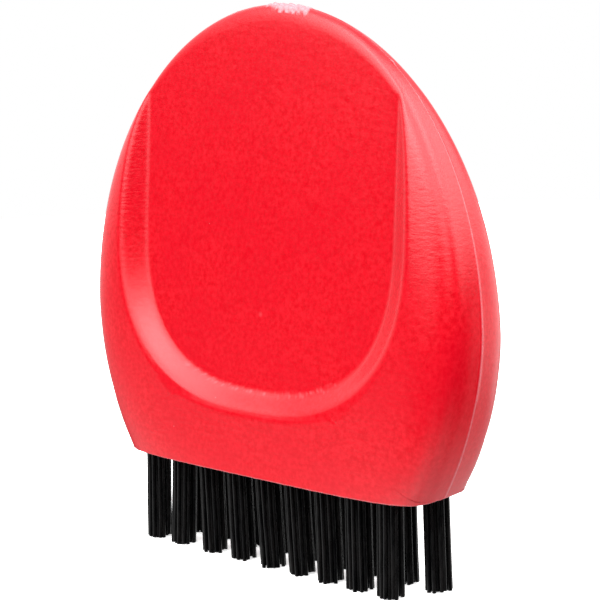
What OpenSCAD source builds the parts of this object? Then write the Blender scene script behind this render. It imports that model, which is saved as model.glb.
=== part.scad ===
// Hand-held groove brush for golf clubs: a moulded egg-shaped grip with a shallow thumb recess on
// each face and two staggered rows of nylon bristle tufts set into its flat bottom.
// Millimetres. Z is up and zero at the bristle ends, X is the width, Y is the thickness.
// The front face looks towards -Y. The grip is symmetric front to back and left to right.

/* [Grip outline] */
// Greatest width of the grip at its parting line
grip_width = 57;          // [56:0.5:62]
// Height of the moulded grip, from its flat bottom to its top
grip_height = 53;         // [50:0.5:58]
// Height of the widest level above the flat bottom
widest_level = 18.5;      // [17:0.5:20]
// How far below the widest level the outline would close if it were not cut flat
lower_reach = 35.5;       // [34:0.5:40]
// Roundness exponent of the outline above the widest level, 2 is an ellipse
upper_power = 2.07;       // [1.9:0.01:2.3]
// Roundness exponent of the outline below the widest level
lower_power = 1.78;       // [1.7:0.01:2.1]

/* [Grip thickness] */
// Full thickness the side faces would have at the bottom if the edge were not rounded
bottom_thickness = 13.2;  // [12.6:0.1:15]
// Full thickness the side faces would have at the top if the edge were not rounded
top_thickness = 7;        // [6.4:0.1:8]
// Straight share of the taper from bottom to top, the rest is curved
straight_share = 0.56;    // [0.4:0.02:0.7]
// Draft of the edge on each side of the parting line, in degrees
edge_draft = 1.8;         // [0.5:0.1:3]

/* [Thumb recess] */
// Half width of the flat recess floor
floor_half_width = 19.5;  // [17:0.5:20]
// Height of the lowest point of the recess floor above the flat bottom
floor_low = 9.7;          // [9:0.1:12]
// Height above the flat bottom where the sides of the floor turn straight
floor_straight = 28.5;    // [26:0.5:31]
// Half thickness of the grip at the straight level of the recess floor
floor_half_thickness = 3; // [2.6:0.1:3.4]
// Lean of the recess floor away from upright, in degrees
floor_lean = 4.86;        // [4:0.02:5.4]
// Rise of the sloped recess wall for each millimetre of its run
wall_slope = 0.66;        // [0.5:0.02:0.9]

/* [Bristles] */
// Tufts in each of the two rows
tufts_per_row = 9;        // [5:1:9]
// Distance between neighbouring tufts of a row
tuft_pitch = 4.67;        // [4:0.01:4.8]
// Distance between the centre lines of the two rows
row_spacing = 5;          // [4.4:0.1:5.4]
// Diameter of a tuft hole
hole_diameter = 3;        // [2.4:0.1:3.2]
// Depth of a tuft hole
hole_depth = 7;           // [6:0.5:8]
// Free length of the bristles below the grip
free_length = 11.5;       // [9:0.5:16]
// Diameter of a tuft at its trimmed ends
tip_diameter = 3.2;       // [2.6:0.05:3.6]

/* [Staple anchors] */
// Length of a flat wire anchor across its hole
anchor_length = 3.5;      // [3.3:0.1:3.8]
// Width of the flat wire
anchor_width = 1.8;       // [1.4:0.1:2.2]
// Thickness of the flat wire
anchor_thickness = 0.4;   // [0.3:0.05:0.5]
// Thickness of the bristle fold between an anchor and the end of its hole
fold_thickness = 0.7;     // [0.5:0.1:1]

/* [Gate mark] */
// Width of the trimmed moulding gate on top of the grip
gate_width = 6.4;         // [4:0.2:8]
// Thickness of the trimmed moulding gate
gate_thickness = 1.6;     // [1:0.1:2]
// Height of the trimmed gate above the top of the grip
gate_height = 0.25;       // [0.1:0.05:0.4]

/* [Hidden] */
FRONT = -1;
BACK = 1;
eps = 0.01;
clearance = 0.02;
gate_root = 1;
hole_sides = 48;
nesting = 6;
half_width = grip_width / 2;
upper_reach = grip_height - widest_level;
bottom_z = free_length;
centre_z = bottom_z + widest_level;
top_z = bottom_z + grip_height;
floor_zc = bottom_z + floor_straight;
floor_drop = floor_straight - floor_low;
floor_power = 2.6;
// Squareness of the rounded edge: at the bottom, its straight and curved change upwards, and its least value
square_bottom = 6.6;
square_straight = 0.4;
square_curved = 4.9;
square_least = 2.3;
// Power of the face angle's sine that tells how far up the face a point of it lies
level_power = 0.4;
draft_rate = tan(edge_draft);
lean_rate = tan(floor_lean);
taper = (bottom_thickness - top_thickness) / 2;
anchor_z = bottom_z + hole_depth - fold_thickness - anchor_width;
// Half length of the flat bottom at the parting line
end_x = half_width * pow(1 - pow(widest_level / lower_reach, lower_power), 1 / lower_power);
corner_angle = atan2(bottom_z - centre_z, end_x);
// Steps of the mesh: along the bottom, around the outline, over the edge and across the recess wall
bottom_steps = [0, 0.12, 0.24, 0.36, 0.48, 0.59, 0.69, 0.78, 0.855, 0.91, 0.95, 0.975, 0.99, 0.9965, 0.9992];
side_count = 34;
edge_steps = [0, 0.012, 0.04, 0.09, 0.16, 0.26, 0.39, 0.56, 0.77];
wall_steps = [1, 0.66, 0.33, 0];
// Least width kept for the inner ring where the recess runs out over the top
least_wall = 0.8;
// A ray ends on the flat bottom if the outline is lower there by more than this
level_slack = 0.001;
// Halvings of an interval in a search, and its lowest angle
search_steps = 26;
search_low = 0.001;

// Front view outline of the grip as a distance from the centre, for one direction
function outline(a) =
    let(up = sin(a) >= 0)
    let(n = up ? upper_power : lower_power)
    let(reach = up ? upper_reach : lower_reach)
    pow(pow(abs(cos(a)) / half_width, n) + pow(abs(sin(a)) / reach, n), -1 / n);

// Share of the grip height at a level
function level(z) = (z - bottom_z) / grip_height;

// Half thickness of the grip body at a level, before the edge is rounded
function bulge(z) =
    let(t = level(z))
    bottom_thickness / 2 - taper * (straight_share * t + (1 - straight_share) * t * t);

// Squareness exponent of the rounded edge at a level
function edge_power(z) =
    let(t = level(z))
    max(square_least, square_bottom + square_straight * t - square_curved * t * t);

// Point of the bulged face for a direction and a face angle, as distance, height and half thickness
function bulge_point(a, t) =
    let(full = outline(a))
    let(guess = centre_z + full * pow(sin(t), level_power) * sin(a))
    let(p = edge_power(min(top_z, max(bottom_z, guess))))
    let(h = bulge(min(top_z, max(bottom_z, guess))) * pow(cos(t), 2 / p))
    let(r = pow(sin(t), 2 / p) * (full - draft_rate * h))
    [r, centre_z + r * sin(a), h];

// Distance from the recess floor outline, positive outside it
function floor_gap(x, z) =
    let(u = abs(x) / floor_half_width)
    let(v = max(0, floor_zc - z) / floor_drop)
    let(g = max(1e-6, pow(pow(u, floor_power) + pow(v, floor_power), 1 / floor_power)))
    let(gu = pow(u / g, floor_power - 1) / floor_half_width)
    let(gv = pow(v / g, floor_power - 1) / floor_drop)
    (g - 1) / max(1e-6, norm([gu, gv]));

// Half thickness of the grip at the recess floor plane
function floor_plane(z) = floor_half_thickness + (floor_zc - z) * lean_rate;

// Half thickness of the recess surface, floor and sloped wall
function recess(x, z) = floor_plane(z) + wall_slope * max(0, floor_gap(x, z));

// Face angle where a ray meets the flat bottom
function cut_angle(a, lo, hi, n) =
    n == 0 ? (lo + hi) / 2 :
    let(mid = (lo + hi) / 2)
    bulge_point(a, mid)[1] > bottom_z ? cut_angle(a, mid, hi, n - 1) : cut_angle(a, lo, mid, n - 1);

// Face angle where the recess wall meets the bulged face
function crest_angle(a, lo, hi, n) =
    n == 0 ? (lo + hi) / 2 :
    let(mid = (lo + hi) / 2)
    let(b = bulge_point(a, mid))
    recess(b[0] * cos(a), b[1]) < b[2] ? crest_angle(a, mid, hi, n - 1) : crest_angle(a, lo, mid, n - 1);

// Distance where a ray leaves the recess floor
function floor_exit(a, lo, hi, n) =
    n == 0 ? (lo + hi) / 2 :
    let(mid = (lo + hi) / 2)
    floor_gap(mid * cos(a), centre_z + mid * sin(a)) < 0 ? floor_exit(a, mid, hi, n - 1)
                                                         : floor_exit(a, lo, mid, n - 1);

// Directions of the mesh rays around the whole outline, starting straight down and going right
right_rays = concat(
    [for (s = bottom_steps) atan2(bottom_z - centre_z, s * end_x)],
    [for (i = [0 : side_count - 1]) corner_angle + (90 - corner_angle) * i / side_count]);
rays = concat(right_rays, [90], [for (i = [len(right_rays) - 1 : -1 : 1]) 180 - right_rays[i]]);

// One ray of the front face, from the edge inwards, as [x, half thickness, z]
function ray_points(a) =
    let(on_cut = centre_z + outline(a) * sin(a) < bottom_z - level_slack)
    let(edge = on_cut ? cut_angle(a, search_low, 90, search_steps) : 90)
    let(crest = crest_angle(a, search_low, edge, search_steps))
    let(c = bulge_point(a, crest))
    let(out = min(floor_exit(a, 0, grip_width, search_steps), c[0] - least_wall))
    concat(
        [for (s = edge_steps)
            let(b = bulge_point(a, edge + (crest - edge) * s))
            [b[0] * cos(a), b[2], s == 0 && on_cut ? bottom_z : b[1]]],
        [for (s = wall_steps)
            let(r = out + (c[0] - out) * s)
            let(x = r * cos(a))
            let(z = centre_z + r * sin(a))
            [x, s == 1 ? c[2] : recess(x, z), z]]);

ray_count = len(rays);
ring_count = len(edge_steps) + len(wall_steps);
cut_rays = len(bottom_steps);
face = [for (a = rays) ray_points(a)];
// The first rays, and their mirror images at the end of the list, end on the flat bottom
function on_bottom(i) = i < cut_rays || i > ray_count - cut_rays;

// Points: front rings, front centre, back rings (edge points on the parting line are shared)
front_points = [for (i = [0 : ray_count - 1]) for (k = [0 : ring_count - 1])
    [face[i][k][0], k == 0 && !on_bottom(i) ? 0 : -face[i][k][1], face[i][k][2]]];
back_points = [for (q = front_points) [q[0], -q[1], q[2]]];
centre_front = [0, -floor_plane(centre_z), centre_z];
centre_back = [0, floor_plane(centre_z), centre_z];
half_count = ray_count * ring_count;
grip_points = concat(front_points, back_points, [centre_front, centre_back]);

function next_ray(i) = (i + 1) % ray_count;
function front_index(i, k) = i * ring_count + k;
// A back point of the parting line is the same point as its front one
function back_index(i, k) = k == 0 && !on_bottom(i) ? front_index(i, k) : half_count + i * ring_count + k;

// The flat bottom, a strip between the front and back edges, closed by one triangle at each end
bottom_faces = concat(
    [for (i = [0 : ray_count - 1]) if (on_bottom(i) && on_bottom(next_ray(i)))
        [front_index(i, 0), front_index(next_ray(i), 0), back_index(next_ray(i), 0)]],
    [for (i = [0 : ray_count - 1]) if (on_bottom(i) && on_bottom(next_ray(i)))
        [front_index(i, 0), back_index(next_ray(i), 0), back_index(i, 0)]],
    [for (i = [0 : ray_count - 1]) if (on_bottom(i) && !on_bottom(next_ray(i)))
        [front_index(i, 0), front_index(next_ray(i), 0), back_index(i, 0)]],
    [for (i = [0 : ray_count - 1]) if (!on_bottom(i) && on_bottom(next_ray(i)))
        [front_index(i, 0), front_index(next_ray(i), 0), back_index(next_ray(i), 0)]]);

grip_faces = concat(
    [for (i = [0 : ray_count - 1]) for (k = [0 : ring_count - 2])
        [front_index(i, k), front_index(i, k + 1), front_index(next_ray(i), k + 1)]],
    [for (i = [0 : ray_count - 1]) for (k = [0 : ring_count - 2])
        [front_index(i, k), front_index(next_ray(i), k + 1), front_index(next_ray(i), k)]],
    [for (i = [0 : ray_count - 1])
        [front_index(i, ring_count - 1), 2 * half_count, front_index(next_ray(i), ring_count - 1)]],
    [for (i = [0 : ray_count - 1]) for (k = [0 : ring_count - 2])
        [back_index(i, k), back_index(next_ray(i), k + 1), back_index(i, k + 1)]],
    [for (i = [0 : ray_count - 1]) for (k = [0 : ring_count - 2])
        [back_index(i, k), back_index(next_ray(i), k), back_index(next_ray(i), k + 1)]],
    [for (i = [0 : ray_count - 1])
        [back_index(i, ring_count - 1), back_index(next_ray(i), ring_count - 1), 2 * half_count + 1]],
    bottom_faces);

// Centre of a tuft: the front row is shifted a quarter pitch to the left, the back row to the right
function tuft_x(row, i) = (i - (tufts_per_row + 1) / 2) * tuft_pitch + row * tuft_pitch / 4;
function tuft_y(row) = row * row_spacing / 2;
module tuft_hole(row, i) {
    translate([tuft_x(row, i), tuft_y(row), bottom_z - eps])
        cylinder(d = hole_diameter, h = hole_depth + eps, $fn = hole_sides);
}

module anchor_blank(row, i) {
    translate([tuft_x(row, i) - anchor_length / 2, tuft_y(row) - anchor_thickness / 2, anchor_z])
        cube([anchor_length, anchor_thickness, anchor_width]);
}

module grip_solid() {
    polyhedron(points = grip_points, faces = grip_faces, convexity = nesting);
    translate([-gate_width / 2, -gate_thickness / 2, top_z - gate_root])
        cube([gate_width, gate_thickness, gate_root + gate_height]);
}

module handle_body() {
    color([0.86, 0.05, 0.10])
    difference() {
        grip_solid();
        for (row = [FRONT, BACK])
            for (i = [1 : tufts_per_row]) {
                tuft_hole(row, i);
                anchor_blank(row, i);
            }
    }
}

module tuft(row, i) {
    color([0.07, 0.07, 0.08])
    difference() {
        translate([tuft_x(row, i), tuft_y(row), 0])
            rotate_extrude($fn = hole_sides)
                polygon([
                    [0, 0],
                    [tip_diameter / 2, 0],
                    [hole_diameter / 2 - clearance, free_length],
                    [hole_diameter / 2 - clearance, free_length + hole_depth],
                    [0, free_length + hole_depth]]);
        anchor_blank(row, i);
    }
}

module anchor(row, i) {
    color([0.72, 0.73, 0.75])
    anchor_blank(row, i);
}

handle_body();
for (i = [1 : tufts_per_row]) {
    tuft(FRONT, i);
    tuft(BACK, i);
    anchor(FRONT, i);
    anchor(BACK, i);
}
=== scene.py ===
"""Looks of the club groove brush: a moulded red grip with a thumb recess on each face, and two
staggered rows of stapled black nylon tufts. Lengths in the formulas are millimetres, in the CAD
frame: Z up from the bristle ends, X across the width, the front face towards -Y."""

import math
import random

import bpy
import numpy as np
from mathutils import Matrix, Vector, geometry


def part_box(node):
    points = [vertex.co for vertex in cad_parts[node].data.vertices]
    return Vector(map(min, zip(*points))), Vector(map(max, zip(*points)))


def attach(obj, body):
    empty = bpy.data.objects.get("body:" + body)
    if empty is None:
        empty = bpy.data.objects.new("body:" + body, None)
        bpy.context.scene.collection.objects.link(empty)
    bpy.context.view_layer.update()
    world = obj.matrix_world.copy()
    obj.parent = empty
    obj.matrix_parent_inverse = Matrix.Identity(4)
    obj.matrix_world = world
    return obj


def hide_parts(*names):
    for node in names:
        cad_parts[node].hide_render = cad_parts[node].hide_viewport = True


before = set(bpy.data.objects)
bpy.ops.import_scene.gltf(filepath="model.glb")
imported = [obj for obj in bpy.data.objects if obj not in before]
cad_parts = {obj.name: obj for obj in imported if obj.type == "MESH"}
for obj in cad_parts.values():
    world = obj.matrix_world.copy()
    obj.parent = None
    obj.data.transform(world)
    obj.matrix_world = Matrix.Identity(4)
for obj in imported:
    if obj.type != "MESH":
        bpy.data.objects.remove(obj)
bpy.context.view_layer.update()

MM = 0.001
FRONT, BACK = -1, 1
TUFTS = 9                       # in each row

# ---------------------------------------------------------------- dimensions taken from the frame
GRIP_LOW, GRIP_HIGH = (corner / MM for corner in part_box("handle_body"))
ANCHOR_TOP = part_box("front_anchor_1")[1].z / MM
GATE_HEIGHT = 0.25              # height of the CAD's gate block above the top of the grip
BOTTOM = GRIP_LOW.z
TOP = GRIP_HIGH.z - GATE_HEIGHT
HALF_WIDTH = GRIP_HIGH.x
GRIP_HEIGHT = TOP - BOTTOM

# ---------------------------------------------------------------- shape of the grip
WIDEST = BOTTOM + 18.5          # level of the greatest width
UPPER_REACH = TOP - WIDEST
LOWER_REACH = 35.5              # how far down the lower outline would close if it weren't cut flat
UPPER_POWER = 2.07              # powers of the two superellipses of the outline
LOWER_POWER = 1.78
HALF_BOTTOM = 6.6               # half thickness at the bottom, before the edge is rounded
HALF_TOP = 3.5                  # half thickness at the top, before the edge is rounded
STRAIGHT_SHARE = 0.56           # the share of that change that is straight, the rest is curved
SQUARE_BOTTOM = 6.6             # squareness of the rounded edge at the bottom
SQUARE_STRAIGHT = 0.4           # its straight change upwards
SQUARE_CURVED = 4.9             # its curved change upwards
SQUARE_LEAST = 2.3
LEVEL_POWER = 0.4               # power of the face angle's sine that tells how far up a point lies
LEVEL_SOFT = 0.04               # share of the height over which the lower end is eased
EDGE_DRAFT = math.tan(math.radians(1.8))
BOTTOM_ROUND = 0.2              # small radius along the edge of the flat bottom
CUT = BOTTOM + BOTTOM_ROUND     # level where that radius starts
CORNER_EASE = 1.2               # how much rounder the ends of the flat bottom are than the sides
CORNER_REACH = 0.07             # share of the height over which that fades

# ---------------------------------------------------------------- traces of moulding and wear, and painted highlights
RIPPLE_WAVES = 7                # plain waves in one uneven ripple
RIPPLE_SIZES = (0.6, 1.7)       # how much shorter or longer than the pitch they are
RIPPLE_SHIFT = 6.3
FLASH_LOW = 0.04                # least height of the ridge along the parting line
FLASH_WAVE = 0.05               # what its uneven height adds at most
FLASH_PITCH, FLASH_FINE_PITCH = 3.2, 0.9
FLASH_FINE_LEAST = 0.2
NICK_X, NICK_HALF_WIDTH = 17.2, 0.45
NICK_HEIGHT = 0.16
SEAM_HIGHLIGHT = 0.35               # painted highlight along the parting line, where the flash ridge catches the light
RIDGE_HIGHLIGHT = 4                 # and what each millimetre of its ridge adds to that painted highlight
GATE_LEFT, GATE_RIGHT = -0.9, 5.9
GATE_HALF_THICKNESS = 0.9
GATE_THIN_END, GATE_THICKENS = 0.55, 0.45
GATE_THIN_LENGTH = 3            # length over which the left end of the gate mark gets thicker
GATE_TEAR = 0.17                # how far the torn edge of the gate mark strays
GATE_TEAR_PITCH, GATE_FINE_PITCH = 1.1, 0.45
GATE_FINE_SHARE = 0.6
GATE_FADE = 0.16                # width of the edge of the mark
GATE_MARGIN = 1                 # the mark doesn't reach further past its ends than this
TORN_LEVEL, TORN_LEAST = 0.5, 0.1
TORN_WAVE, TORN_PITCH = 0.3, 1.6
TORN_FINE_WAVE, TORN_FINE_PITCH = 0.2, 0.5
FOOT_WORN_BELOW = BOTTOM + 12   # the foot of the recess is whitened below this level
FOOT_WORN_WIDTH = 0.5
FOOT_WORN_PITCH = 0.8
FOOT_WHITE = 0.3
BURR_HEIGHT = 0.07              # height of the burrs along the edge of the flat bottom
BURR_PITCH = 1.3
EDGE_HIGHLIGHT = 0.3                # painted highlight along that rounded edge
BURR_HIGHLIGHT = 3                  # what a full burr adds to that painted highlight, as a multiple of it

# ---------------------------------------------------------------- thumb recess
FLOOR_HALF_WIDTH = 19.5
FLOOR_STRAIGHT = BOTTOM + 28.5  # the sides of the floor are straight above this level
FLOOR_DROP = 18.8               # how far its round lower end reaches down from there
FLOOR_POWER = 2.6               # power of the superellipse of that end
FLOOR_HALF = 3.0                # half thickness of the grip between the floors, at that level
FLOOR_LEAN = math.tan(math.radians(4.86))    # what it gains per millimetre downwards
WALL_SLOPE = 0.66               # rise of the wall per millimetre outwards
CREST_SOFT = 0.55               # thickness over which the crest of the recess is rounded
FOOT_SOFT = 0.55                # run over which the wall turns into the floor

# ---------------------------------------------------------------- colours and skin
WIDE, NARROW = (0.3, 0.7), (0.35, 0.65)    # ranges of the noise that are spread to full contrast
RED_DEEP = (0.45, 0.0006, 0.0060)
RED_LIGHT = (0.56, 0.0065, 0.0150)
RED_CLOUD = (0.47, 0.0014, 0.0095)
# pale red of the worn places, the specks and the painted highlights along the parting line and the
# bottom edge
RED_WEAR_AND_HIGHLIGHT = (0.62, 0.22, 0.25)
RED_ROUGHNESS = (0.17, 0.24)
RED_IOR = 1.49
MOTTLE_PITCH, CLOUD_PITCH = 0.5, 7
MOTTLE_RANGE = (0.35, 0.7)
CLOUD_SHARE = 0.5
WEAR_AND_HIGHLIGHT_PITCH = 0.35
WEAR_AND_HIGHLIGHT_RANGE = (0.65, 1.1)        # how unevenly the worn places and the painted highlights are whitened
SPECK_PITCH, SPECK_RADIUS = 3.2, 0.11
SPECK_SHARE, SPECK_WHITE = 0.3, 0.25    # share of the cells that have one, and its whitening
SPECK_CORE = 0.6                # share of a speck's radius that is fully pale
GLOSS_PITCH = 0.6
PEEL_PITCH, PEEL_DEPTH = 0.5, 0.014
PEEL_STRETCH = (2.2, 2.2, 1)    # the orange peel is drawn out along the width
GRAIN_PITCH, GRAIN_DEPTH = 0.22, 0.008
SWELL_PITCH, SWELL_DEPTH = 3.5, 0.004
WRINKLE_PITCH, WRINKLE_DEPTH = 0.36, 0.028
WRINKLE_STRETCH = (3, 3, 1)     # and the fine wrinkles of the upper shoulders more so
WRINKLES_FROM = BOTTOM + 21     # the wrinkles fade in above this level
WRINKLES_FADE = 8
WRINKLES_INSIDE, WRINKLES_OUTSIDE = 0.5, 1    # and they fade in this far each side of the recess edge

BLACK_DEEP = (0.001, 0.001, 0.0012)
BLACK_LIGHT = (0.005, 0.0045, 0.0045)
BLACK_ROUGHNESS = (0.2, 0.34)
BLACK_IOR = 1.38
SHADE_PITCH, SHADE_STRETCH = 0.5, (1, 1, 12)
SHEEN_PITCH, SHEEN_STRETCH = 0.4, (1, 1, 5)
DRAWN_PITCH, DRAWN_STRETCH, DRAWN_DEPTH = 0.09, (1, 1, 40), 0.004

STEEL_DEEP = (0.50, 0.50, 0.49)
STEEL_LIGHT = (0.66, 0.65, 0.62)
STEEL_ROUGHNESS = (0.22, 0.42)
TINT_PITCH, STEEL_GLOSS_PITCH = 0.6, 0.3
ROLLED_PITCH, ROLLED_STRETCH, ROLLED_DEPTH = 0.05, (40, 1, 1), 0.002

WHITE_DEEP = (0.84, 0.84, 0.84)
WHITE_LIGHT = (0.88, 0.88, 0.88)
WHITE_ROUGHNESS = 0.9
WHITE_SPECULAR = 0.1
WHITE_GLOW = 0.6                # keeps the floor white in the shade of the brush
WHITE_PITCH = 2

# ---------------------------------------------------------------- mesh density
BOTTOM_RAYS = 78                # rays from the middle of the flat bottom to its end
SIDE_RAYS = 150                 # rays from the end of the flat bottom to near the gate mark
GATE_RAYS = 56                  # rays from there to the top
GATE_RAYS_FROM = GATE_RIGHT + 1.2
EDGE_RINGS = 27                 # rings from the parting line to the crest
WALL_RINGS = 13                 # rings from the crest to past the foot
FLOOR_RINGS = 12                # rings from there to the middle
EDGE_BUNCHING = (4, 5)          # how much closer the rings lie at the two ends of each stretch
WALL_BUNCHING = (2, 2)
FLOOR_BUNCHING = (1, 0)
BUNCHING_REACH = 9              # the higher, the shorter the ends where they lie closer
FLOOR_SPREAD = 1.3
EDGE_SPREAD = 4
PAST_FOOT = 0.9                 # how far inside the foot the wall rings end
MIDDLE_RADIUS = 0.4             # radius of the innermost ring
NO_ZERO = 1e-6                  # keeps a divisor above zero
BOTTOM_EDGE_STEPS = ((30, 0.4), (60, 1.0), (90, 0.0))   # turn in degrees and share of the burrs and of the painted highlight
SHARP_ANGLE = 50
ALL_CLEAR = 0.999               # points above this share are clear of the recess
LEVEL_SLACK, MERGE_BELOW = 1e-6, 1e-7
# fine steps that curves are followed in before their rays or rings are spaced out
BOTTOM_STEPS, SIDE_STEPS = 3000, 4000
EDGE_STEPS, WALL_STEPS, FLOOR_STEPS = 500, 300, 100
LEAST_ANGLE, TINY = 1e-4, 1e-9
SEARCH_REACH = 60.0             # further out than any point of the grip
# rays steeper than this down get exact normals, because they lie so close together
EXACT_BELOW = -0.25
TURN_STEP, COSINE_STEP = 1e-4, 0.002    # steps aside that a normal is worked out from

# ---------------------------------------------------------------- camera and light
CAMERA_AZIMUTH = 43.677         # to the right of straight at the front face, in degrees
CAMERA_ELEVATION = 9.084
CAMERA_ROLL = -1.833
CAMERA_TARGET = Vector((2.579, 0, 31.341))
CAMERA_DISTANCE = 195.58
SENSOR_WIDTH = 36
LENS = 103.27
CLIP = (0.01, 20)               # nearest and furthest things the camera sees, in metres
DISC_RADIUS = 400               # the floor
DISC_SIDES = 128
# name, azimuth to the camera's right, elevation, half angles at full strength and at the edge,
# and radiance
SOFT_BOXES = (
    ("left_box", -60, 35, 10, 40, 4.0),
    ("right_box", 80, 40, 5, 45, 4.0),
    ("front_top", 0, 55, 10, 55, 4.0),
    ("top", 0, 80, 25, 75, 0.5),
    ("right_card", 120, -5, 10, 25, 1.25),
    ("back_right", 145, 0, 40, 50, 0.75),
    ("back_left", -145, 30, 20, 60, 1.0),
    ("table", 50, -85, 10, 60, 1.25),
    ("table_left", -95, -45, 5, 45, 1.5),
    ("table_front", -40, -55, 10, 40, 0.75),
)

# ---------------------------------------------------------------- bristles
HOLE_RADIUS = 1.5
HOLE_DEPTH = 7.0
HOLE_SIDES = 40
HOLE_BEVEL = 0.08
FILAMENT_RADIUS = 0.235
FILAMENT_SIDES = 9
FILAMENT_ROWS = (6, 5, 2)       # filaments side by side in each row away from the flat wire
WIRE_HALF = 0.2                 # half the thickness of the flat wire that holds a tuft
ROW_PITCH = 0.395
FOLD_PITCH = 0.11               # how much higher the next row folds over the wire
FOLD_STEPS = 6
LEG_STEPS = 8
STRAIGHT_ABOVE = BOTTOM + 0.5   # inside the hole the filaments run straight above this level
SPLAY, SPLAY_SPREAD = 1.015, 0.02    # how much wider a tuft is at its ends
SPLAY_POWER = 1.25
DRIFT, BOW, TIP_SPREAD = 0.045, 0.035, 0.13    # how unevenly the filaments lean, bend and are cut
# how far the ends of each tuft lean to the right
FRONT_LEANS = (-0.5, -0.85, 0.1, 0.3, 0.55, 0.5, 0.2, 0.0, -0.15)
BACK_LEANS = (-0.2, 0.1, 0.3, -0.1, 0.2, 0.1, -0.1, 0.15, 0.2)


# ---------------------------------------------------------------- formulas of the grip
def outline(a):
    """Distance of the front view's outline from its centre, for directions in radians."""
    up = np.sin(a) >= 0
    power = np.where(up, UPPER_POWER, LOWER_POWER)
    reach = np.where(up, UPPER_REACH, LOWER_REACH)
    across = (np.abs(np.cos(a)) / HALF_WIDTH) ** power
    along = (np.abs(np.sin(a)) / reach) ** power
    return (across + along) ** (-1 / power)


def face_point(a, t):
    """Distance, level and half thickness of the bulged face, for a direction and a face angle."""
    full = outline(a)
    guess = np.minimum(TOP, WIDEST + full * np.sin(t) ** LEVEL_POWER * np.sin(a))
    level = (guess - BOTTOM) / GRIP_HEIGHT
    level = 0.5 * (level + np.sqrt(level ** 2 + LEVEL_SOFT ** 2))
    bulge = HALF_BOTTOM - (HALF_BOTTOM - HALF_TOP) * (
        STRAIGHT_SHARE * level + (1 - STRAIGHT_SHARE) * level ** 2)
    corner = CORNER_EASE * np.exp(-level / CORNER_REACH)
    square = SQUARE_BOTTOM + SQUARE_STRAIGHT * level - SQUARE_CURVED * level ** 2 - corner
    power = np.maximum(SQUARE_LEAST, square)
    half = bulge * np.cos(t) ** (2 / power)
    r = np.sin(t) ** (2 / power) * (full - EDGE_DRAFT * half)
    return r, WIDEST + r * np.sin(a), half


def floor_gap(x, z):
    """Distance outside the outline of the recess floor, negative inside it."""
    u = np.abs(x) / FLOOR_HALF_WIDTH
    v = np.maximum(0, FLOOR_STRAIGHT - z) / FLOOR_DROP
    g = np.maximum(NO_ZERO, (u ** FLOOR_POWER + v ** FLOOR_POWER) ** (1 / FLOOR_POWER))
    gu = (u / g) ** (FLOOR_POWER - 1) / FLOOR_HALF_WIDTH
    gv = (v / g) ** (FLOOR_POWER - 1) / FLOOR_DROP
    return (g - 1) / np.maximum(NO_ZERO, np.hypot(gu, gv))


def recess(x, z):
    """Half thickness of the recess surface: a leaning floor and a sloped wall with a soft foot."""
    gap = floor_gap(x, z)
    rise = 0.5 * (gap + np.sqrt(gap ** 2 + FOOT_SOFT ** 2 / 4))
    return FLOOR_HALF + (FLOOR_STRAIGHT - z) * FLOOR_LEAN + WALL_SLOPE * rise


def soft_min(a, b, width):
    """The smaller of two half thicknesses, rounded where they cross."""
    near = np.maximum(0, 1 - np.abs(a - b) / width)
    return np.minimum(a, b) - width * near ** 2 / 4


def bisect(test, low, high, steps=40):
    """For each element, the value between low and high where test turns from true to false."""
    low = np.array(low, float)
    high = np.array(high, float)
    for _ in range(steps):
        middle = (low + high) / 2
        keep = test(middle)
        low = np.where(keep, middle, low)
        high = np.where(keep, high, middle)
    return (low + high) / 2


def resample(points, shares):
    """Points of a polyline at the given shares of its length. Columns after the second only follow."""
    steps = np.linalg.norm(np.diff(points[:, :2], axis=0), axis=1)
    run = np.concatenate([[0], np.cumsum(steps)])
    return np.stack([np.interp(shares * run[-1], run, column) for column in points.T], axis=1)


def ease(count, first, last):
    """Shares from 0 to 1 that lie closer together at the start and the end, by the given amounts."""
    u = np.linspace(0, 1, count)
    closer = first * np.exp(-u * BUNCHING_REACH)
    closer_at_end = last * np.exp(-(1 - u) * BUNCHING_REACH)
    density = 1 / (1 + closer + closer_at_end)
    run = np.concatenate([[0], np.cumsum((density[1:] + density[:-1]) / 2)])
    return run / run[-1]


def bottom_angles():
    """Directions of the rays that end on the flat bottom, evenly spaced along its edge."""
    drop = WIDEST - CUT
    end = HALF_WIDTH * (1 - (drop / LOWER_REACH) ** LOWER_POWER) ** (1 / LOWER_POWER)
    x = end * np.sin(np.linspace(0, np.pi / 2, BOTTOM_STEPS))
    a = np.arctan2(-drop, x)
    low, high = np.full_like(a, LEAST_ANGLE), np.full_like(a, np.pi / 2)
    half = face_point(a, bisect(lambda t: face_point(a, t)[1] > CUT, low, high))[2]
    half[-1] = 0
    edge = resample(np.stack([x, half], axis=1), np.linspace(0, 1, BOTTOM_RAYS))
    angles = np.arctan2(-drop, edge[:, 0])
    angles[-1] = np.arctan2(-drop, end)
    return angles


def side_angles(start):
    """Directions of the rays from a start to straight up, evenly spaced along the outline."""
    a = np.linspace(start, np.pi / 2, SIDE_STEPS)
    r = outline(a)
    curve = np.stack([r * np.cos(a), r * np.sin(a)], axis=1)
    length = np.cumsum(np.linalg.norm(np.diff(curve, axis=0), axis=1))[-1]
    near_gate = 1 - GATE_RAYS_FROM / length
    plain = np.linspace(0, near_gate, SIDE_RAYS)
    close = np.linspace(near_gate, 1, GATE_RAYS)[1:]
    side = resample(curve, np.concatenate([plain, close]))
    return np.arctan2(side[1:, 1], side[1:, 0])


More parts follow.
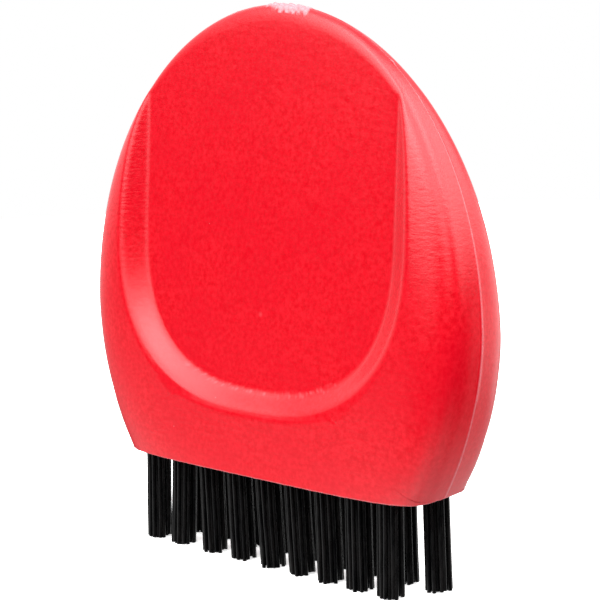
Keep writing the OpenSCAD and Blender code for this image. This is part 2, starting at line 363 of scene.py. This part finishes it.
def ripple(x, y, pitch, seed):
    """A smooth uneven wave, about -1 to 1, with bumps about one pitch apart."""
    rng = random.Random(seed)
    total = 0.0
    for _ in range(RIPPLE_WAVES):
        turn = rng.uniform(0, math.pi)
        size = 2 * math.pi / pitch * rng.uniform(*RIPPLE_SIZES)
        shift = rng.uniform(0, RIPPLE_SHIFT)
        total = total + np.sin((x * math.cos(turn) + y * math.sin(turn)) * size + shift)
    return total / (RIPPLE_WAVES / 2)


def clamp(value):
    """A number kept between 0 and 1."""
    return min(1, max(0, value))


def gate_mark(x, y):
    """Share from 0 outside to 1 inside the torn patch that the cut gate leaves."""
    fine = GATE_FINE_SHARE * ripple(x, y, GATE_FINE_PITCH, "fine tear")
    tear = GATE_TEAR * (ripple(x, y, GATE_TEAR_PITCH, "tear") + fine)
    inside_x = min(x - GATE_LEFT, GATE_RIGHT - x)
    thickness = GATE_THIN_END + GATE_THICKENS * clamp((x - GATE_LEFT) / GATE_THIN_LENGTH)
    inside_y = GATE_HALF_THICKNESS * thickness - abs(y)
    return clamp((min(inside_x, inside_y) + tear) / GATE_FADE)


def gate_rise(x, y):
    """How far the torn patch stands above the smooth top."""
    if not GATE_LEFT - GATE_MARGIN < x < GATE_RIGHT + GATE_MARGIN:
        return 0.0
    coarse = TORN_WAVE * ripple(x, y, TORN_PITCH, "torn")
    fine = TORN_FINE_WAVE * ripple(x, y, TORN_FINE_PITCH, "fine torn")
    torn = TORN_LEVEL + coarse + fine
    return GATE_HEIGHT * gate_mark(x, y) * min(1, max(TORN_LEAST, torn))


def flash_height(x, z):
    """Height of the thin uneven ridge that the mould leaves along the parting line."""
    coarse = max(0, ripple(x, z, FLASH_PITCH, "flash"))
    wave = FLASH_WAVE * coarse * max(FLASH_FINE_LEAST, ripple(x, z, FLASH_FINE_PITCH, "fine flash"))
    nick = max(0, 1 - abs(x - NICK_X) / NICK_HALF_WIDTH) if z > WIDEST else 0
    return FLASH_LOW + wave + NICK_HEIGHT * nick


# ---------------------------------------------------------------- mesh of the grip
def face_normals(a, cos_t):
    """Outward normals of the bulged front face for a direction and cosines of face angles."""
    def place(direction, cosine):
        r, z, half = face_point(direction, np.arccos(cosine))
        return np.stack([r * np.cos(direction), -half, z], axis=1)

    along = place(a + TURN_STEP, cos_t) - place(a - TURN_STEP, cos_t)
    across = place(a, np.minimum(1, cos_t * (1 + COSINE_STEP))) - place(a, cos_t * (1 - COSINE_STEP))
    normals = np.cross(along, across)
    normals /= np.linalg.norm(normals, axis=1)[:, None]
    outward = normals[:, 0] * math.cos(a) + normals[:, 2] * math.sin(a) - normals[:, 1]
    return normals * np.sign(outward)[:, None]


def outer_points(a, edge, crest):
    """Points of one ray from the edge to the crest, spaced for the steep side and the flat face."""
    v = np.linspace(0, 1, EDGE_STEPS)
    cos_t = math.cos(edge) + (math.cos(crest) - math.cos(edge)) * v ** EDGE_SPREAD
    r, z, half = face_point(a, np.arccos(cos_t))
    hollow = recess(r * math.cos(a), z)
    clear = np.where(hollow - half > CREST_SOFT, 1.0, 0.0)
    points = np.stack([r, soft_min(half, hollow, CREST_SOFT), cos_t, clear], axis=1)
    return resample(points, ease(EDGE_RINGS, *EDGE_BUNCHING))


def inner_points(a, crest, crest_r, foot):
    """Points of one ray from inside the crest to near the middle, followed by distance."""
    wall_r = np.linspace(crest_r, foot, WALL_STEPS)
    r = np.concatenate([wall_r, np.linspace(foot, MIDDLE_RADIUS, FLOOR_STEPS)[1:]])
    t = bisect(lambda m: face_point(a, m)[0] < r, np.full_like(r, TINY), np.full_like(r, crest))
    z = WIDEST + r * math.sin(a)
    half = soft_min(face_point(a, t)[2], recess(r * math.cos(a), z), CREST_SOFT)
    points = np.stack([r, half, 0 * r, 0 * r], axis=1)
    wall = resample(points[:WALL_STEPS], ease(WALL_RINGS, *WALL_BUNCHING))[1:]
    floor = resample(points[WALL_STEPS - 1:], ease(FLOOR_RINGS, *FLOOR_BUNCHING) ** FLOOR_SPREAD)[1:]
    return np.concatenate([wall, floor])


def profile(a, on_bottom):
    """Points of one ray, from the edge to near the middle.

    The columns are distance, half thickness, cosine of the face angle, and 1 clear of the recess."""
    def inside(t):
        r, z, half = face_point(a, t)
        return recess(r * math.cos(a), z) < half

    def on_floor(r):
        return floor_gap(r * math.cos(a), WIDEST + r * math.sin(a)) < 0

    edge = np.pi / 2
    if on_bottom:
        edge = float(bisect(lambda t: face_point(a, t)[1] > CUT, LEAST_ANGLE, np.pi / 2))
    crest = float(bisect(inside, LEAST_ANGLE, edge))
    crest_r = float(face_point(a, crest)[0])
    foot = float(bisect(on_floor, 0.0, SEARCH_REACH))
    foot = min(foot - PAST_FOOT, crest_r - PAST_FOOT)
    return np.concatenate([outer_points(a, edge, crest), inner_points(a, crest, crest_r, foot)])


def face_vertex(a, face, k, r, half, on_seam):
    """Place and whitening of the mesh point on ring k of one ray of the front or back face."""
    x, y, z = r * math.cos(a), face * half, WIDEST + r * math.sin(a)
    white = 0.0
    if on_seam:
        y = 0.0
        ridge = flash_height(x, z)
        x, z = x + ridge * math.cos(a), z + ridge * math.sin(a)
        # painted highlight: the pale line along the parting line, brighter where the flash ridge is
        # higher
        white = SEAM_HIGHLIGHT + ridge * RIDGE_HIGHLIGHT
    elif k >= EDGE_RINGS and z < FOOT_WORN_BELOW:
        near_foot = max(0, 1 - abs(float(floor_gap(x, z))) / FOOT_WORN_WIDTH)
        white = FOOT_WHITE * near_foot * max(0, float(ripple(x, z, FOOT_WORN_PITCH, "foot")))
    if k < EDGE_RINGS and a > 0:
        white = max(white, gate_mark(x, y))
        z += gate_rise(x, y)
    return (x, y, z), white


def add_face_points(angles, profiles, verts, wear_and_highlight, normals):
    """Adds the points of both faces. Gives their numbers by face, ray and ring."""
    index = {}
    for face in (FRONT, BACK):
        for i, a in enumerate(angles):
            # these rays end on the parting line, and the others on the flat bottom
            to_seam = BOTTOM_RAYS - 1 <= i <= len(angles) - BOTTOM_RAYS + 1
            exact = face_normals(a, np.clip(profiles[i][:, 2], TINY, 1))
            for k, (r, half, _, clear) in enumerate(profiles[i]):
                on_seam = k == 0 and to_seam
                if on_seam and face == BACK:
                    index[BACK, i, 0] = index[FRONT, i, 0]
                    continue
                place, white = face_vertex(a, face, k, r, half, on_seam)
                index[face, i, k] = len(verts)
                verts.append(place)
                wear_and_highlight.append(white)
                known = math.sin(a) < EXACT_BELOW and clear > ALL_CLEAR and not on_seam
                normals.append((exact[k][0], -face * exact[k][1], exact[k][2]) if known else (0, 0, 0))
    return index


def add_faces(index, rays, rings, verts, faces):
    """Adds the quads of both faces, and the triangles round the middle point of each."""
    for face in (FRONT, BACK):
        middle = len(verts)
        # the list of whitening from wear and painted highlights gets no entry for the two middle points,
        # so the entries after them lie two points early
        verts.append((0.0, face * (FLOOR_HALF + (FLOOR_STRAIGHT - WIDEST) * FLOOR_LEAN), WIDEST))
        for i in range(rays):
            j = (i + 1) % rays
            for k in range(rings - 1):
                quad = [index[face, i, k], index[face, j, k],
                        index[face, j, k + 1], index[face, i, k + 1]]
                faces.append(quad if face == FRONT else quad[::-1])
            tip = [index[face, i, rings - 1], index[face, j, rings - 1], middle]
            faces.append(tip if face == FRONT else tip[::-1])


def add_bottom_edge(index, rays, verts, faces, wear_and_highlight):
    """Adds the small radius with its burrs round the flat bottom. Gives the numbers of its rim."""
    last = BOTTOM_RAYS - 1
    front_run = [index[FRONT, i % rays, 0] for i in range(-last, last + 1)]
    back_run = [index[BACK, i % rays, 0] for i in range(last - 1, -last, -1)]
    previous = front_run + back_run
    plan = np.array([verts[i][:2] for i in previous])
    ahead = np.roll(plan, -1, axis=0) - np.roll(plan, 1, axis=0)
    inward = np.stack([-ahead[:, 1], ahead[:, 0]], axis=1)
    inward /= np.linalg.norm(inward, axis=1)[:, None]
    for degrees, burr_and_highlight_share in BOTTOM_EDGE_STEPS:
        turn = math.radians(degrees)
        ring = []
        for p, w in zip(plan, inward):
            burr = burr_and_highlight_share * BURR_HEIGHT * max(0, float(ripple(p[0], p[1], BURR_PITCH, "burr")))
            q = p + w * (BOTTOM_ROUND * (1 - math.cos(turn)) - burr)
            ring.append(len(verts))
            verts.append((q[0], q[1], BOTTOM + BOTTOM_ROUND * (1 - math.sin(turn))))
            # painted highlight along the rounded edge of the flat bottom, brighter on the burrs
            wear_and_highlight.append(burr_and_highlight_share * EDGE_HIGHLIGHT * (1 + BURR_HIGHLIGHT * burr / BURR_HEIGHT))
        add_band(faces, ring, previous)
        previous = ring
    return previous


def add_band(faces, ring, other):
    """Adds a closed band of quads between two rings with as many points."""
    for i in range(len(ring)):
        j = (i + 1) % len(ring)
        faces.append([other[j], other[i], ring[i], ring[j]])


def grip_mesh():
    """The whole grip as one closed mesh: both faces, the rounded bottom edge and the drilled bottom."""
    bottom = bottom_angles()
    right = np.concatenate([bottom, side_angles(bottom[-1])])
    angles = np.concatenate([right, np.pi - right[-2:0:-1]])
    half_profiles = [profile(a, i < BOTTOM_RAYS) for i, a in enumerate(right)]
    profiles = half_profiles + half_profiles[-2:0:-1]
    verts, faces, wear_and_highlight, normals = [], [], [], []
    index = add_face_points(angles, profiles, verts, wear_and_highlight, normals)
    add_faces(index, len(angles), len(profiles[0]), verts, faces)
    rim = add_bottom_edge(index, len(angles), verts, faces, wear_and_highlight)
    add_drilled_bottom(verts, faces, rim)
    wear_and_highlight.extend([0.0] * (len(verts) - len(wear_and_highlight)))
    flat = BOTTOM + LEVEL_SLACK
    normals.extend([(0, 0, -1) if z < flat else (0, 0, 0) for _, _, z in verts[len(normals):]])
    return verts, faces, wear_and_highlight, normals


def tuft_centre(row_name, i):
    """Centre of one CAD tuft in the plane, which is the centre of its hole."""
    low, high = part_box(f"{row_name}_tuft_{i}")
    return (low.x + high.x) / 2 / MM, (low.y + high.y) / 2 / MM


def circle(cx, cy, radius, sides):
    """Points of a circle in the plane."""
    turns = [2 * math.pi * s / sides for s in range(sides)]
    return [(cx + radius * math.cos(turn), cy + radius * math.sin(turn)) for turn in turns]


def add_drilled_bottom(verts, faces, rim):
    """Closes the flat bottom inside the rim loop, with a blind hole for each tuft."""
    centres = [tuft_centre(row, i) for row in ("front", "back") for i in range(1, TUFTS + 1)]
    points = [Vector(verts[i][:2]) for i in rim]
    edges = [(i, (i + 1) % len(rim)) for i in range(len(rim))]
    starts = []
    for centre in centres:
        start = len(points)
        starts.append(start)
        points += [Vector(p) for p in circle(*centre, HOLE_RADIUS + HOLE_BEVEL, HOLE_SIDES)]
        edges += [(start + s, start + (s + 1) % HOLE_SIDES) for s in range(HOLE_SIDES)]
    places, _, triangles, sources = geometry.delaunay_2d_cdt(
        points, edges, [], 0, MERGE_BELOW)[:4]
    ids = []
    where = {}
    for place, source in zip(places, sources):
        if source and source[0] < len(rim):
            ids.append(rim[source[0]])
        else:
            ids.append(len(verts))
            verts.append((place.x, place.y, BOTTOM))
        where.update((number, ids[-1]) for number in source)
    outer = [tuple(p) for p in points[:len(rim)]]
    for triangle in triangles:
        middle = sum((places[i] for i in triangle), Vector((0, 0))) / len(triangle)
        in_hole = any(math.hypot(middle.x - cx, middle.y - cy) < HOLE_RADIUS for cx, cy in centres)
        if not in_hole and inside_polygon(middle, outer):
            faces.append([ids[i] for i in triangle][::-1])
    for start, centre in zip(starts, centres):
        add_hole(verts, faces, [where[start + s] for s in range(HOLE_SIDES)], centre)


def add_hole(verts, faces, mouth, centre):
    """Adds the bevel, the wall and the end of one blind hole, from the ring of its mouth."""
    previous = mouth
    for level in (BOTTOM + HOLE_BEVEL, BOTTOM + HOLE_DEPTH):
        ring = list(range(len(verts), len(verts) + HOLE_SIDES))
        verts += [(x, y, level) for x, y in circle(*centre, HOLE_RADIUS, HOLE_SIDES)]
        add_band(faces, ring, previous)
        previous = ring
    faces.append(previous)


def inside_polygon(p, polygon):
    """True if a point of the plane lies inside a closed polygon."""
    inside = False
    for (x0, y0), (x1, y1) in zip(polygon, polygon[1:] + polygon[:1]):
        if (y0 > p.y) != (y1 > p.y) and p.x < x0 + (p.y - y0) * (x1 - x0) / (y1 - y0):
            inside = not inside
    return inside


def new_object(name, verts, faces, material, wear_and_highlight=None, normals=None):
    """A smooth shaded mesh object from millimetre points.

    The whitening given for each point is a share, from wear and from painted highlights. normals are
    exact normals, zero where unknown."""
    mesh = bpy.data.meshes.new(name)
    mesh.from_pydata([(x * MM, y * MM, z * MM) for x, y, z in verts], [], faces)
    if wear_and_highlight:
        attribute = mesh.attributes.new("wear_and_highlight", "FLOAT", "POINT")
        attribute.data.foreach_set("value", wear_and_highlight)
    mesh.validate()
    mesh.polygons.foreach_set("use_smooth", [True] * len(mesh.polygons))
    mesh.set_sharp_from_angle(angle=math.radians(SHARP_ANGLE))
    if normals:
        mesh.normals_split_custom_set_from_vertices(normals)
    mesh.materials.append(material)
    obj = bpy.data.objects.new(name, mesh)
    bpy.context.scene.collection.objects.link(obj)
    return obj


# ---------------------------------------------------------------- bristles
def hole_places():
    """Filament places in half a round hole beside the flat wire, in rows away from it."""
    places = []
    reach_of_hole = HOLE_RADIUS - FILAMENT_RADIUS
    for row, count in enumerate(FILAMENT_ROWS):
        y = FILAMENT_RADIUS + WIRE_HALF + row * ROW_PITCH
        reach = math.sqrt(reach_of_hole ** 2 - y * y)
        for i in range(count):
            places.append((reach * (2 * i / (count - 1) - 1), y, row))
    return places


def tube(verts, faces, path, radius):
    """Adds a closed tube along a path of points, with flat ends."""
    path = [Vector(p) for p in path]
    across = Vector((1, 0, 0))
    rings = []
    for i, p in enumerate(path):
        ahead = (path[min(i + 1, len(path) - 1)] - path[max(i - 1, 0)]).normalized()
        side = (across - ahead * across.dot(ahead)).normalized()
        other = ahead.cross(side)
        ring = []
        for s in range(FILAMENT_SIDES):
            turn = 2 * math.pi * s / FILAMENT_SIDES
            ring.append(len(verts))
            verts.append(tuple(p + (side * math.cos(turn) + other * math.sin(turn)) * radius))
        rings.append(ring)
    for a, b in zip(rings, rings[1:]):
        for s in range(FILAMENT_SIDES):
            j = (s + 1) % FILAMENT_SIDES
            faces.append([a[s], a[j], b[j], b[s]])
    faces.append(rings[0][::-1])
    faces.append(rings[-1])


def bristle_leg(rng, cx, cy, x, y, lean):
    """Points of one leg of a filament, from its cut end up to the bend above the flat wire."""
    splay = SPLAY + rng.uniform(-SPLAY_SPREAD, SPLAY_SPREAD)
    drift = rng.gauss(0, DRIFT), rng.gauss(0, DRIFT)
    bow = rng.gauss(0, BOW), rng.gauss(0, BOW)
    tip = abs(rng.gauss(0, TIP_SPREAD))
    leg = []
    for s in range(LEG_STEPS + 1):
        u = s / LEG_STEPS
        out = (1 - u) ** SPLAY_POWER
        bend = math.sin(math.pi * u) * (1 - u)
        leg_x = cx + x + (x * (splay - 1) + lean + drift[0]) * out + bow[0] * bend
        leg_y = cy + y + (y * (splay - 1) + drift[1]) * out + bow[1] * bend
        leg.append((leg_x, leg_y, tip * (1 - u) + STRAIGHT_ABOVE * u))
    return leg


def bristle_tuft(row_name, i, material, lean):
    """One tuft: filaments folded over the flat wire, their legs side by side in the hole."""
    rng = random.Random(f"{row_name} {i}")
    cx, cy = tuft_centre(row_name, i)
    verts, faces = [], []
    for x, y, row in hole_places():
        path = bristle_leg(rng, cx, cy, x, -y, lean)
        rise = FILAMENT_RADIUS + FOLD_PITCH * row
        for s in range(FOLD_STEPS + 1):
            turn = math.pi * s / FOLD_STEPS
            path.append((cx + x, cy - y * math.cos(turn), ANCHOR_TOP + rise * math.sin(turn)))
        path += bristle_leg(rng, cx, cy, x, y, lean)[::-1]
        tube(verts, faces, path, FILAMENT_RADIUS)
    piece = new_object(f"{row_name}_bristles_{i}", verts, faces, material)
    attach(piece, "root")
    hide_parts(f"{row_name}_tuft_{i}")


# ---------------------------------------------------------------- materials
def node_material(name):
    """A new node material, its node tree and its Principled shader."""
    material = bpy.data.materials.new(name)
    material.use_nodes = True
    return material, material.node_tree, material.node_tree.nodes["Principled BSDF"]


def noise(tree, pitch, detail, stretch=(1, 1, 1)):
    """Noise from 0 to 1 in object space, with bumps about one pitch (mm) apart, times a stretch."""
    coordinates = tree.nodes.new("ShaderNodeTexCoord")
    mapping = tree.nodes.new("ShaderNodeMapping")
    mapping.inputs["Scale"].default_value = [1 / (pitch * MM * share) for share in stretch]
    texture = tree.nodes.new("ShaderNodeTexNoise")
    texture.inputs["Scale"].default_value = 1
    texture.inputs["Detail"].default_value = detail
    tree.links.new(coordinates.outputs["Object"], mapping.inputs["Vector"])
    tree.links.new(mapping.outputs["Vector"], texture.inputs["Vector"])
    return texture.outputs["Fac"]


def fit(tree, value, source, target=(0, 1)):
    """A value moved from one range to another, and kept inside it."""
    node = tree.nodes.new("ShaderNodeMapRange")
    for socket, number in zip(node.inputs[1:5], (*source, *target)):
        socket.default_value = number
    tree.links.new(value, node.inputs["Value"])
    return node.outputs["Result"]


def math_node(tree, operation, a, b):
    """The result of a sum, product or other operation on two values or numbers."""
    node = tree.nodes.new("ShaderNodeMath")
    node.operation = operation
    for socket, value in zip(node.inputs, (a, b)):
        if isinstance(value, (int, float)):
            socket.default_value = value
        else:
            tree.links.new(value, socket)
    return node.outputs["Value"]


def blend(tree, share, a, b):
    """A colour between two colours."""
    node = tree.nodes.new("ShaderNodeMix")
    node.data_type = "RGBA"
    tree.links.new(share, node.inputs["Factor"])
    for socket, colour in ((node.inputs[6], a), (node.inputs[7], b)):
        if isinstance(colour, tuple):
            socket.default_value = (*colour, 1)
        else:
            tree.links.new(colour, socket)
    return node.outputs[2]


def shoulder_share(tree):
    """1 on the upper shoulders beside the recess, 0 in the recess and low down."""
    coordinates = tree.nodes.new("ShaderNodeTexCoord")
    axes = tree.nodes.new("ShaderNodeSeparateXYZ")
    tree.links.new(coordinates.outputs["Object"], axes.inputs["Vector"])
    inside, outside = FLOOR_HALF_WIDTH - WRINKLES_INSIDE, FLOOR_HALF_WIDTH + WRINKLES_OUTSIDE
    beside = math_node(tree, "ABSOLUTE", axes.outputs["X"], 0)
    beside = fit(tree, beside, (inside * MM, outside * MM))
    high = fit(tree, axes.outputs["Z"], (WRINKLES_FROM * MM, (WRINKLES_FROM + WRINKLES_FADE) * MM))
    return math_node(tree, "MULTIPLY", beside, high)


def bump(tree, height, depth, normal=None, strength=None):
    """A surface normal from a height map, with its full depth in millimetres."""
    node = tree.nodes.new("ShaderNodeBump")
    if strength:
        tree.links.new(strength, node.inputs["Strength"])
    else:
        node.inputs["Strength"].default_value = 1
    node.inputs["Distance"].default_value = depth * MM
    tree.links.new(height, node.inputs["Height"])
    if normal:
        tree.links.new(normal, node.inputs["Normal"])
    return node.outputs["Normal"]


def specks(tree, pitch, radius, share):
    """1 in small round specks, one in some of the cells that are about one pitch (mm) wide."""
    coordinates = tree.nodes.new("ShaderNodeTexCoord")
    cells = tree.nodes.new("ShaderNodeTexVoronoi")
    cells.inputs["Scale"].default_value = 1 / (pitch * MM)
    tree.links.new(coordinates.outputs["Object"], cells.inputs["Vector"])
    dot = fit(tree, cells.outputs["Distance"], (radius / pitch * SPECK_CORE, radius / pitch), (1, 0))
    random_colour = tree.nodes.new("ShaderNodeSeparateColor")
    tree.links.new(cells.outputs["Color"], random_colour.inputs["Color"])
    chosen = math_node(tree, "LESS_THAN", random_colour.outputs["Red"], share)
    return math_node(tree, "MULTIPLY", dot, chosen)


def grip_plastic():
    """Red moulded polypropylene: fine orange peel, faint mottling, whitened where it was cut or torn,
    with painted highlights along the parting line and the edge of the flat bottom.
    """
    material, tree, shader = node_material("grip_plastic")
    # whitening read from the mesh: wear, and painted highlights along the parting line and the bottom
    # edge
    wear_and_highlight = tree.nodes.new("ShaderNodeAttribute")
    wear_and_highlight.attribute_name = "wear_and_highlight"
    uneven = fit(tree, noise(tree, WEAR_AND_HIGHLIGHT_PITCH, detail=3), NARROW, WEAR_AND_HIGHLIGHT_RANGE)
    white = math_node(tree, "MULTIPLY", wear_and_highlight.outputs["Fac"], uneven)
    spots = specks(tree, SPECK_PITCH, SPECK_RADIUS, SPECK_SHARE)
    spots = math_node(tree, "MULTIPLY", spots, SPECK_WHITE)
    white = math_node(tree, "MAXIMUM", white, spots)
    mottle = fit(tree, noise(tree, MOTTLE_PITCH, detail=4), MOTTLE_RANGE)
    cloud = fit(tree, noise(tree, CLOUD_PITCH, detail=2), NARROW)
    red = blend(tree, mottle, RED_DEEP, RED_LIGHT)
    red = blend(tree, math_node(tree, "MULTIPLY", cloud, CLOUD_SHARE), red, RED_CLOUD)
    tree.links.new(blend(tree, white, red, RED_WEAR_AND_HIGHLIGHT), shader.inputs["Base Color"])
    gloss = fit(tree, noise(tree, GLOSS_PITCH, detail=3), WIDE, RED_ROUGHNESS)
    tree.links.new(gloss, shader.inputs["Roughness"])
    shader.inputs["IOR"].default_value = RED_IOR
    wrinkles = noise(tree, WRINKLE_PITCH, detail=2, stretch=WRINKLE_STRETCH)
    wrinkles = bump(tree, wrinkles, WRINKLE_DEPTH, strength=shoulder_share(tree))
    peel = bump(tree, noise(tree, PEEL_PITCH, detail=2, stretch=PEEL_STRETCH), PEEL_DEPTH, wrinkles)
    grain = bump(tree, noise(tree, GRAIN_PITCH, detail=3), GRAIN_DEPTH, peel)
    swell = bump(tree, noise(tree, SWELL_PITCH, detail=1), SWELL_DEPTH, grain)
    tree.links.new(swell, shader.inputs["Normal"])
    return material


def bristle_nylon():
    """Glossy black nylon filament with fine drawing lines along it."""
    material, tree, shader = node_material("bristle_nylon")
    shade = fit(tree, noise(tree, SHADE_PITCH, detail=2, stretch=SHADE_STRETCH), NARROW)
    tree.links.new(blend(tree, shade, BLACK_DEEP, BLACK_LIGHT), shader.inputs["Base Color"])
    sheen = noise(tree, SHEEN_PITCH, detail=2, stretch=SHEEN_STRETCH)
    tree.links.new(fit(tree, sheen, NARROW, BLACK_ROUGHNESS), shader.inputs["Roughness"])
    shader.inputs["IOR"].default_value = BLACK_IOR
    lines = noise(tree, DRAWN_PITCH, detail=2, stretch=DRAWN_STRETCH)
    tree.links.new(bump(tree, lines, DRAWN_DEPTH), shader.inputs["Normal"])
    return material


def anchor_steel():
    """Drawn and flattened steel wire: bright, with fine lines along its length."""
    material, tree, shader = node_material("anchor_steel")
    shader.inputs["Metallic"].default_value = 1
    tint = fit(tree, noise(tree, TINT_PITCH, detail=3), WIDE)
    tree.links.new(blend(tree, tint, STEEL_DEEP, STEEL_LIGHT), shader.inputs["Base Color"])
    gloss = fit(tree, noise(tree, STEEL_GLOSS_PITCH, detail=3), WIDE, STEEL_ROUGHNESS)
    tree.links.new(gloss, shader.inputs["Roughness"])
    lines = noise(tree, ROLLED_PITCH, detail=2, stretch=ROLLED_STRETCH)
    tree.links.new(bump(tree, lines, ROLLED_DEPTH), shader.inputs["Normal"])
    return material


def pale_floor():
    """Matt white table top with a very faint grain, and a glow of its own."""
    material, tree, shader = node_material("pale_floor")
    grain = fit(tree, noise(tree, WHITE_PITCH, detail=3), WIDE)
    tree.links.new(blend(tree, grain, WHITE_DEEP, WHITE_LIGHT), shader.inputs["Base Color"])
    shader.inputs["Roughness"].default_value = WHITE_ROUGHNESS
    shader.inputs["Specular IOR Level"].default_value = WHITE_SPECULAR
    shader.inputs["Emission Color"].default_value = (1, 1, 1, 1)
    shader.inputs["Emission Strength"].default_value = WHITE_GLOW
    return material


# ---------------------------------------------------------------- stage, light and camera
def place_camera():
    """A long lens to the right of the front face, a little above it and slightly tilted."""
    azimuth = math.radians(CAMERA_AZIMUTH)
    roll = math.radians(CAMERA_ROLL)
    back = camera_direction(0, CAMERA_ELEVATION)
    level = Vector((math.cos(azimuth), math.sin(azimuth), 0))
    upright = back.cross(level)
    right = level * math.cos(roll) + upright * math.sin(roll)
    up = upright * math.cos(roll) - level * math.sin(roll)
    camera = bpy.data.cameras.new("camera")
    camera.sensor_width = SENSOR_WIDTH
    camera.lens = LENS
    camera.clip_start, camera.clip_end = CLIP
    obj = bpy.data.objects.new("camera", camera)
    place = (CAMERA_TARGET + back * CAMERA_DISTANCE) * MM
    obj.matrix_world = Matrix((
        (right.x, up.x, back.x, place.x),
        (right.y, up.y, back.y, place.y),
        (right.z, up.z, back.z, place.z),
        (0, 0, 0, 1)))
    bpy.context.scene.collection.objects.link(obj)
    bpy.context.scene.camera = obj


def camera_direction(azimuth, elevation):
    """Unit vector towards an azimuth, in degrees to the camera's right, and an elevation."""
    turn, lift = math.radians(CAMERA_AZIMUTH + azimuth), math.radians(elevation)
    level = math.cos(lift)
    return Vector((math.sin(turn) * level, -math.cos(turn) * level, math.sin(lift)))


def soft_light(tree, name, azimuth, elevation, full, edge, strength):
    """World radiance of one big soft light: full within an angle of its middle, gone at its edge."""
    coordinates = tree.nodes.new("ShaderNodeTexCoord")
    facing = tree.nodes.new("ShaderNodeVectorMath")
    facing.operation = "DOT_PRODUCT"
    facing.inputs[1].default_value = camera_direction(azimuth, elevation)
    fade = tree.nodes.new("ShaderNodeMapRange")
    fade.label = name
    fade.interpolation_type = "SMOOTHSTEP"
    fade.inputs["From Min"].default_value = math.cos(math.radians(edge))
    fade.inputs["From Max"].default_value = math.cos(math.radians(full))
    fade.inputs["To Max"].default_value = strength
    tree.links.new(coordinates.outputs["Generated"], facing.inputs[0])
    tree.links.new(facing.outputs["Value"], fade.inputs["Value"])
    return fade.outputs["Result"]


def all_lights(tree):
    """World radiance of all soft lights together."""
    total, *others = [soft_light(tree, *box) for box in SOFT_BOXES]
    for light in others:
        total = math_node(tree, "ADD", total, light)
    return total


def studio():
    """Soft lights all round, dark at the height of the camera, and a backdrop that it sees as white."""
    world = bpy.data.worlds.new("studio")
    world.use_nodes = True
    tree = world.node_tree
    background = tree.nodes["Background"]
    path = tree.nodes.new("ShaderNodeLightPath")
    mix = tree.nodes.new("ShaderNodeMix")
    mix.inputs["B"].default_value = 1.0
    tree.links.new(path.outputs["Is Camera Ray"], mix.inputs["Factor"])
    tree.links.new(all_lights(tree), mix.inputs["A"])
    tree.links.new(mix.outputs["Result"], background.inputs["Strength"])
    background.inputs["Color"].default_value = (1, 1, 1, 1)
    bpy.context.scene.world = world
    bpy.context.scene.view_settings.view_transform = "Standard"


def pale_table():
    """A flat round floor at the level of the bristle ends, left out of reflections and bounced light."""
    verts = [(x, y, 0) for x, y in circle(0, 0, DISC_RADIUS, DISC_SIDES)]
    floor = new_object("floor", verts, [list(range(DISC_SIDES))], pale_floor())
    floor.visible_glossy = False
    floor.visible_diffuse = False
    floor.visible_shadow = False


def main():
    """Makes every piece, then the camera, the light and the floor."""
    red = grip_plastic()
    black = bristle_nylon()
    steel = anchor_steel()
    verts, faces, wear_and_highlight, normals = grip_mesh()
    grip = new_object("grip", verts, faces, red, wear_and_highlight, normals)
    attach(grip, "root")
    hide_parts("handle_body")
    for row_name, leans in (("front", FRONT_LEANS), ("back", BACK_LEANS)):
        for i, lean in enumerate(leans, start=1):
            bristle_tuft(row_name, i, black, lean)
            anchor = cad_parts[f"{row_name}_anchor_{i}"]
            for material_slot in anchor.material_slots:
                material_slot.material = steel
    place_camera()
    studio()
    pale_table()


main()
